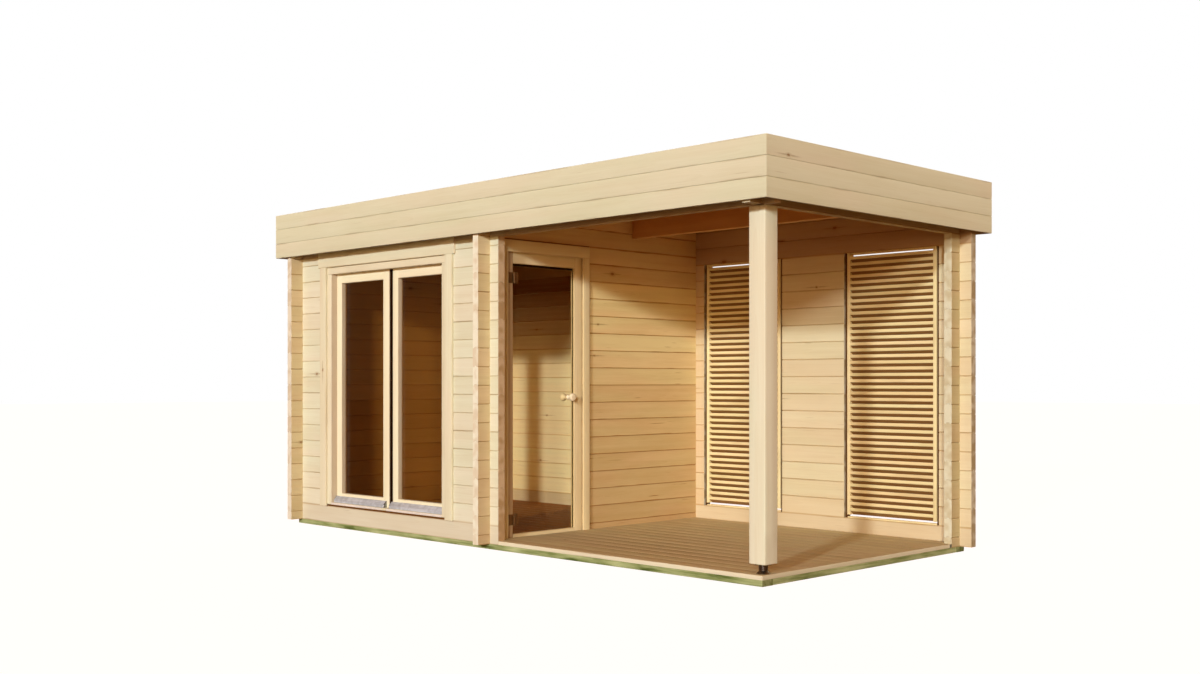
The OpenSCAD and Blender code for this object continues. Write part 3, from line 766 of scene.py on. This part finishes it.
# ------------------------ roof

def roof_deck():
    """Boards from front to back with bevelled edges. Their bevelled joints show from below."""
    board_width = 0.12
    low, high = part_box("roof_boards")
    boards = Boards("roof boards")
    rows = round((high.x - low.x) / board_width)
    width = (high.x - low.x) / rows
    outline = rounded(width, high.z - low.z, 0.0035, 1)
    for row in range(rows):
        boards.add(Vector((low.x + row * width, low.y, low.z)), BACK, RIGHT, UP, high.y - low.y, outline)
    boards.piece("roof_deck", roof_wood, ["roof_boards"])


def felt_sheets():
    """Three sheets along the roof. Each laps over the one before it."""
    low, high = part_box("roof_felt")
    sheets = 3
    lap = 0.08
    bend = 0.012
    thick = (high.z - low.z) / 2
    depth = (high.y - low.y - lap) / sheets
    mesh = bmesh.new()
    for i in range(sheets):
        y0 = low.y + i * depth
        rise = thick if i else 0
        flat = lap if i else bend
        under = [(y0, rise), (y0 + flat, rise), (y0 + flat + bend, 0), (y0 + depth + lap, 0)]
        over = [(y, z + thick) for y, z in reversed(under)]
        loops = []
        for x in (low.x, high.x):
            loops.append([mesh.verts.new((x, y, low.z + z)) for y, z in under + over])
        for j in range(len(loops[0])):
            k = (j + 1) % len(loops[0])
            mesh.faces.new((loops[0][j], loops[0][k], loops[1][k], loops[1][j]))
        mesh.faces.new(loops[0])
        mesh.faces.new(loops[1])
    bmesh.ops.recalc_face_normals(mesh, faces=mesh.faces)
    place_piece("felt_sheets", finished("felt_sheets", mesh), roof_felt, ["roof_felt"])


def fascia(side):
    """Three boards above each other, mitred at the roof's corners. The lowest one's under side carries
    painted shade, and the front boards a little painted shade, so the right side reads brighter.
    """
    node = f"fascia_{side}"
    low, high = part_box(node)
    front_low, front_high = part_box("fascia_front")
    rows = 3
    seam = 0.0006
    height = (high.z - low.z) / rows
    thick = front_high.y - front_low.y
    along, through = (RIGHT, BACK) if side in ("front", "back") else (BACK, RIGHT)
    start = Vector(low)
    if side in ("back", "right"):
        through = -through
        start = start - through * thick
    # Painted shade on the front boards' faces
    front_face_shade = 0.16 if side == "front" else 0.0
    outline = rounded(height - 2 * seam, thick, 0.0025)
    boards = Boards(node)
    for row in range(rows):
        corner = Vector((start.x, start.y, low.z + row * height + seam))
        under = 0.7 if row == 0 else front_face_shade
        boards.add(corner, along, UP, through, (high - low).dot(along), outline, mitres=(1, 1), crop=0,
                   shade=lambda first, second: under if max(first[0], second[0]) < TINY else front_face_shade)
    boards.piece(f"{node}_boards", fascia_wood, [node])


def joists():
    low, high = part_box("ceiling_joists")
    xs = places("ceiling_joists", 0)
    boards = Boards("joists", edge=0.003)
    for x0, x1 in zip(xs[::2], xs[1::2]):
        boards.box((x0, low.y, low.z), (x1, high.y, high.z), RIGHT)
    boards.piece("joist_beams", joist_wood, ["ceiling_joists"])


def post():
    """A post with eased edges. Its front side carries a little painted shade, so its right side reads
    brighter.
    """
    low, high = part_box("corner_post")
    size = high - low
    edge = 0.005
    boards = Boards("post")
    boards.add(low, UP, RIGHT, BACK, size.z, rounded(size.x, size.y, edge), crop=0.003,
               shade=lambda first, second: 0.08 if max(first[1], second[1]) <= edge else 0.0)
    boards.piece("post_timber", post_wood, ["corner_post"])


roof_deck()
felt_sheets()
for side in ("front", "back", "left", "right"):
    fascia(side)
joists()
post()


# ------------------------ window

# The dark packing strip under the window, whose colour is partly painted shade in the gap under the
# frame. Its face and its back are measured from the frame's face
packing_height = 0.014
packing_face = 0.003
packing_back = 0.012
window_low, window_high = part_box("window_frame")


def window_joinery():
    """The frame with its mullion, two sashes, and the wide seal between them. The seal's dark rubber paints
    the shade in the gap between the sashes.
    """
    xs, ys, zs = grid("window_frame")
    face, back = window_low.y, window_high.y
    foot = zs[0] + packing_height
    boards = Boards("window frame", edge=0.003)
    # The frame's jambs carry painted shade on their right sides, which face into the window's recess
    for x0, x1 in ((xs[0], xs[1]), (xs[-2], xs[-1])):
        boards.box((x0, face, zs[1]), (x1, back, zs[2]), UP, recess_shade=0.40)
    boards.box((xs[0], face, foot), (xs[-1], back, zs[1]), RIGHT)
    boards.box((xs[0], face + packing_back, zs[0]), (xs[-1], back, foot), RIGHT, radius=0.001)
    boards.box((xs[0], face, zs[2]), (xs[-1], back, zs[3]), RIGHT)
    boards.box((xs[2], ys[1], zs[1]), (xs[3], back, zs[2]), UP)
    boards.piece("window_frame_boards", joinery_wood, ["window_frame"])

    # Beside the seal the left stile is this much wider, and the right stile stands this much further right
    left_wider = 0.010
    right_further = 0.026
    xs, ys, zs = grid("window_sashes")
    face, back = ys[0], ys[-1]
    seal_x0 = xs[3] + left_wider
    seal_x1 = xs[4] + right_further
    stiles = ((xs[0], xs[1]), (xs[2], seal_x0), (seal_x1, xs[5] + right_further), (xs[6], xs[7]))
    sashes = Boards("sashes", edge=0.003)
    # The stiles carry painted shade on their right sides, in the window's recess
    for x0, x1 in stiles:
        sashes.box((x0, face, zs[0]), (x1, back, zs[3]), UP, recess_shade=0.45)
    for x0, x1 in ((stiles[0][1], stiles[1][0]), (stiles[2][1], stiles[3][0])):
        for z0, z1 in ((zs[0], zs[1]), (zs[2], zs[3])):
            sashes.box((x0, face, z0), (x1, back, z1), RIGHT)
    sashes.piece("window_sash_boards", sash_wood, ["window_sashes"])

    seal_step = 0.006
    seal = Boards("sash seal", edge=0.003)
    seal.box((seal_x0, face + seal_step, zs[0]), (seal_x1, back, zs[3]), UP)
    seal.piece("sash_seal", shadow_seal_rubber)


def window_casing():
    low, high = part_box("window_trim")
    xs, _, zs = grid("window_trim")
    boards = Boards("window trim", edge=0.003)
    for x0, x1 in ((xs[1], xs[2]), (xs[3], xs[4])):
        boards.box((x0, low.y, zs[0]), (x1, high.y, zs[1]), UP)
    boards.box((xs[0], low.y, zs[1]), (xs[5], high.y, zs[2]), RIGHT)
    boards.piece("window_casing", trim_wood, ["window_trim"])

    face = window_low.y
    packing_top = zs[0] + packing_height
    packing = Boards("window packing", edge=0.001)
    packing.box((xs[2], face + packing_face, zs[0]), (xs[3], face + packing_back, packing_top), RIGHT)
    packing.piece("window_packing", packing_shadow_wood)


def drip_rails():
    """Folded rails with a rounded nose, each on a skirt down to the packing. Caps close the rails' ends."""
    low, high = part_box("window_drip_rails")
    xs = places("window_drip_rails", 0)
    reach = high.y - low.y
    flatter = 0.68
    tall = (high.z - low.z) * flatter
    nose = [(0.0, 0.0), (0.9, 0.0), (1.0, 0.03), (1.0, 0.36), (0.95, 0.43), (0.24, 0.94), (0.14, 0.99),
            (0.0, 1.0)]
    outline = [(out * reach, up * tall) for out, up in nose]
    cap = 0.004
    shorter = 0.018
    starts = (xs[0], xs[2] + shorter)
    ends = (xs[1] - shorter, xs[3])
    skirt_out = 0.003
    skirt_in = 0.001
    face = window_low.y
    foot = window_low.z + packing_height
    skirts = Boards("drip rail skirts", edge=0.001)
    for x0, x1 in zip(starts, ends):
        skirts.box((x0, face - skirt_out, foot), (x1, face + skirt_in, low.z), RIGHT)
    skirts.piece("drip_rail_skirts", skirt_metal)
    for name, material, nodes, spans in (
        ("drip_rail_sheets", drip_metal, ["window_drip_rails"],
         [(x0 + cap, x1 - cap) for x0, x1 in zip(starts, ends)]),
        ("drip_rail_caps", foot_metal, (),
         [(x, x + cap) for x in starts] + [(x - cap, x) for x in ends]),
    ):
        rails = Boards(name)
        for x0, x1 in spans:
            rails.add(Vector((x0, high.y, low.z)), RIGHT, -BACK, UP, x1 - x0, outline, crop=0.0008)
        rails.piece(name, material, nodes)


window_joinery()
window_casing()
drip_rails()


# ------------------------ door

def jamb_shade(first, second):
    """Painted shade all round the jamb that carries the hinges, and on its stop."""
    return 0.5


def door_joinery():
    """Jambs, stops, head and sill, with dark seals on the stops that paint the shade there, and the trim
    round them with its dark packing, which paints the shadow that the trim casts.
    """
    stop_width = 0.009
    xs, ys, zs = grid("door_frame")
    back, stop, face = xs[:3]
    glass_low, glass_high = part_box("door_glass")
    foot, sill, head_stop, top = zs[0], zs[1], zs[2], zs[-1]
    way_top = glass_high.z + (glass_low.z - sill)
    latch_stop = ys[5] - stop_width
    boards = Boards("door frame", edge=0.0025)
    for jamb_y0, jamb_y1, stop_y0, stop_y1, painted_shading in (
        (ys[0], ys[2], ys[2], ys[3], jamb_shade),
        (ys[5], ys[7], latch_stop, ys[5], None),
    ):
        boards.box((back, jamb_y0, foot), (face, jamb_y1, top), UP, shade=painted_shading)
        boards.box((back, stop_y0, sill), (stop, stop_y1, way_top), UP, shade=painted_shading)
    boards.box((back, ys[2], way_top), (face, ys[5], top), BACK)
    boards.box((back, ys[3], head_stop), (stop, latch_stop, way_top), BACK)
    boards.box((back, ys[2], foot), (face, ys[5], sill), BACK)
    boards.piece("door_frame_boards", door_wood, ["door_frame"])

    strip = 0.0015
    seals = Boards("door seals", edge=0.0005)
    seals.box((stop, latch_stop, sill), (stop + strip, ys[5], way_top), UP)
    seals.box((stop, ys[3], head_stop), (stop + strip, latch_stop, way_top), BACK)
    seals.piece("door_seals", shadow_seal_rubber)

    low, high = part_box("door_trim")
    _, ys, zs = grid("door_trim")
    trims = Boards("door trim", edge=0.003)
    for y0, y1 in ((ys[0], ys[1]), (ys[2], ys[3])):
        trims.box((low.x, y0, zs[0]), (high.x, y1, zs[1]), UP)
    trims.box((low.x, ys[0], zs[1]), (high.x, ys[3], zs[2]), BACK)
    trims.piece("door_casing", door_wood, ["door_trim"])

    # Dark strips beside the door trim and over its head: painted shadow that the trim casts on the wall
    gap = 0.007
    thick = 0.003
    front = low.x + thick
    packing = Boards("door packing", edge=0.001)
    packing.box((low.x, ys[3], zs[0]), (front, ys[3] + gap, zs[2]), UP)
    packing.box((low.x, ys[0], zs[2]), (front, ys[3] + gap, zs[2] + gap), BACK)
    packing.piece("door_packing", packing_shadow_wood)


def turned_knobs():
    """A turned knob on each face of the glass."""
    low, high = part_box("door_knobs")
    glass_low, glass_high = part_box("door_glass")
    centre_y = (low.y + high.y) / 2
    centre_z = (low.z + high.z) / 2
    radius = (high.y - low.y) / 2
    profile = [(0.0, 0.0), (0.66, 0.0), (0.66, 0.05), (0.47, 0.16), (0.43, 0.30), (0.56, 0.44),
               (0.92, 0.62), (1.0, 0.74), (0.97, 0.88), (0.80, 0.98), (0.60, 1.0), (0.0, 1.0)]
    around = 40
    pith = (0.03, 0.02)
    own_tone = 0.4
    mesh = bmesh.new()
    grain = mesh.verts.layers.float_vector.new("grain")
    tone = mesh.faces.layers.float.new("tone")
    for foot, tip in ((glass_high.x, high.x), (glass_low.x, low.x)):
        rings = []
        for share, out in profile:
            x = foot + out * (tip - foot)
            ring = []
            for i in range(around if share else 1):
                turn = 2 * math.pi * i / around
                y = centre_y + share * radius * math.cos(turn)
                z = centre_z + share * radius * math.sin(turn)
                vert = mesh.verts.new((x, y, z))
                vert[grain] = (z, y - centre_y + pith[0], x - foot + pith[1])
                ring.append(vert)
            rings.append(ring)
        for first, second in zip(rings, rings[1:]):
            for i in range(around):
                j = (i + 1) % around
                corners = [first[i % len(first)], first[j % len(first)]]
                corners += [second[j % len(second)], second[i % len(second)]]
                face = mesh.faces.new(list(dict.fromkeys(corners)))
                face[tone] = own_tone
    bmesh.ops.recalc_face_normals(mesh, faces=mesh.faces)
    knobs = finished("turned_knobs", mesh, sharp=50)
    place_piece("turned_knobs", knobs, knob_wood, ["door_knobs"], body="door")


door_joinery()
turned_knobs()


# ------------------------ louvre panels

def upright(x, y):
    """Picks the corners on the upright line through x and y."""
    return lambda corner: abs(corner.x - x) < SAME and abs(corner.y - y) < SAME


def slat_under_shade(first, second):
    """Painted shade on a slat's under side."""
    wide = 0.01
    return 0.90 if max(first[1], second[1]) < TINY and abs(first[0] - second[0]) > wide else 0.0


def slat_outline(depth, fall, tall):
    """A slat that falls outwards, with its upright edges eased and a drip lip at the back."""
    ease = 0.002
    lip = 0.004
    ease_fall = ease * fall / depth
    return [
        (ease, -ease_fall), (0, ease), (0, tall - ease), (ease, tall - ease_fall),
        (depth - ease, tall - fall + ease_fall), (depth, tall - fall - ease),
        (depth, ease - fall - lip), (depth - ease, -fall - lip + ease_fall),
    ]


def louvre(node, name):
    """Two stiles with sloping slats between them, and the blocks that hold the panel in its opening."""
    low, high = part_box(node)
    front, back = low.y, high.y
    xs = places(node, 0)
    left, stile_l, stile_r, right = xs[1], xs[2], xs[-3], xs[-2]
    stile_zs = places(node, 2, upright(left, front))
    bottom, top = stile_zs[0], stile_zs[-1]
    panel = Boards(node)
    for x0, x1 in ((left, stile_l), (stile_r, right)):
        panel.box((x0, front, bottom), (x1, back, top), UP)
    fronts = places(node, 2, upright(stile_l, front))[1:-1]
    backs = [z for z in places(node, 2, upright(stile_l, back)) if bottom + SAME < z < top - SAME]
    outline = slat_outline(back - front, fronts[0] - backs[0], fronts[1] - fronts[0])
    housed = 0.001
    length = stile_r - stile_l + 2 * housed
    for z in fronts[::2]:
        start = Vector((stile_l - housed, front, z))
        panel.add(start, RIGHT, BACK, UP, length, outline, crop=0, shade=slat_under_shade)
    block_zs = places(node, 2, lambda corner: abs(corner.x - low.x) < SAME)
    block_ys = places(node, 1, lambda corner: abs(corner.x - low.x) < SAME)
    for x0, x1 in ((low.x, left), (right, high.x)):
        for z0, z1 in zip(block_zs[::2], block_zs[1::2]):
            panel.box((x0, block_ys[0], z0), (x1, block_ys[-1], z1), UP, radius=0.001)
    panel.piece(name, louvre_wood, [node])

    # Dark battens close the gaps beside the stiles, and their dark colour paints the shade in those gaps.
    # Packers stand on the stiles, up to the head of the opening, and laths run along its head and its sill
    sill = sill_high.z
    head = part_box("back_wall_top")[0].z
    batten_face = front + 0.012
    batten_back = back - 0.004
    lath_face = front + 0.006
    head_lath = 0.0125
    sill_lath = 0.009
    battens = Boards(f"{node} battens", edge=0.001)
    for x0, x1 in ((low.x, left), (right, high.x)):
        battens.box((x0, batten_face, sill), (x1, batten_back, head), UP)
    battens.piece(f"{name}_battens", batten_shadow_wood)
    packers = Boards(f"{node} packers", edge=0.001)
    for x0, x1 in ((left, stile_l), (stile_r, right)):
        packers.box((x0, front, top), (x1, back, head), UP)
    packers.box((stile_l, lath_face, head - head_lath), (stile_r, back, head), RIGHT)
    packers.box((left, lath_face, sill), (right, back, sill + sill_lath), RIGHT)
    packers.piece(f"{name}_packers", louvre_wood)


louvre("louvre_panel_left", "louvre_left")
louvre("louvre_panel_right", "louvre_right")


# ------------------------ CAD nodes that keep their shape

for node, material in (
    ("post_foot", foot_metal),
    ("hinge_pins", hinge_metal),
    ("hinge_clamps", hinge_metal),
    ("window_panes", window_glass),
    ("door_glass", door_glass),
):
    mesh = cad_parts[node].data
    mesh.materials.clear()
    mesh.materials.append(material)


# ------------------------ stage, light and camera

WHITE = (1, 1, 1, 1)


def stage_floor():
    """A wide floor. It keeps the cabin's shadow, looks white, and throws back a warm light."""
    reach = 60
    mesh = bmesh.new()
    corners = [mesh.verts.new((x * reach, y * reach, 0)) for x, y in ((-1, -1), (1, -1), (1, 1), (-1, 1))]
    mesh.faces.new(corners)
    plane = finished("stage_floor", mesh)
    paint = Paint("stage_floor")
    matt = paint.node("ShaderNodeBsdfDiffuse", {"Color": (0.22, 0.13, 0.06, 1)})
    seen = paint.node("ShaderNodeLightPath", None, "Is Camera Ray")
    glow = paint.node("ShaderNodeEmission", {"Color": WHITE, "Strength": 0.95})
    lit = paint.node("ShaderNodeAddShader", {0: matt, 1: glow})
    plane.materials.append(paint.finish(paint.blend(seen, matt, lit)))
    in_scene("stage_floor", plane)


def world_light(tint):
    """A plain even sky. Seen by itself or through glass it is white, and as light it is a warm fill."""
    world = bpy.data.worlds.new("sky")
    bpy.context.scene.world = world
    world.use_nodes = True
    paint = Paint(world)
    path = paint.node("ShaderNodeLightPath", None, "Is Camera Ray")
    seen = paint.math("MAXIMUM", path, path.output("Is Transmission Ray"))
    fill = paint.node("ShaderNodeBackground", {"Color": (*tint, 1)})
    white = paint.node("ShaderNodeBackground", {"Color": WHITE})
    paint.finish(paint.blend(seen, fill, white), "ShaderNodeOutputWorld")


def lamp_far_off(name, bearing, height, energy, softness, tint):
    """A sun. Bearing is degrees round from the front to the right, height is degrees up, and softness is
    how many degrees wide the sun is."""
    turn = math.radians(bearing)
    rise = math.radians(height)
    level = math.cos(rise)
    direction = Vector((-math.sin(turn) * level, math.cos(turn) * level, -math.sin(rise)))
    lamp = bpy.data.lights.new(name, "SUN")
    lamp.energy = energy
    lamp.color = tint
    lamp.angle = math.radians(softness)
    in_scene(name, lamp).rotation_euler = direction.to_track_quat("-Z", "Y").to_euler()


def camera():
    """A level camera in front of the right corner. The shift frames the cabin without a tilt."""
    lens = bpy.data.cameras.new("camera")
    lens.lens = 39.15
    lens.sensor_width = 36
    lens.shift_y = 0.03775
    lens.clip_end = 200
    made = in_scene("camera", lens)
    made.location = (6.5317, -6.540, 1.0852)
    made.rotation_euler = (math.radians(90), 0, math.radians(45))
    bpy.context.scene.camera = made


stage_floor()
world_light((0.40, 0.165, 0.050))
lamp_far_off("key_light", 19.1, 14.5, 1.55, 3.0, (0.87, 0.96, 1))
lamp_far_off("side_light", 38, 12.0, 1.08, 5.0, (0.93, 1, 0.93))
lamp_far_off("low_light", 30, 3, 1.02, 24.0, (1, 0.66, 0.32))
lamp_far_off("back_light", -145, 27, 1.5, 25.0, (1, 0.76, 0.48))
camera()
bpy.context.scene.view_settings.view_transform = "Standard"
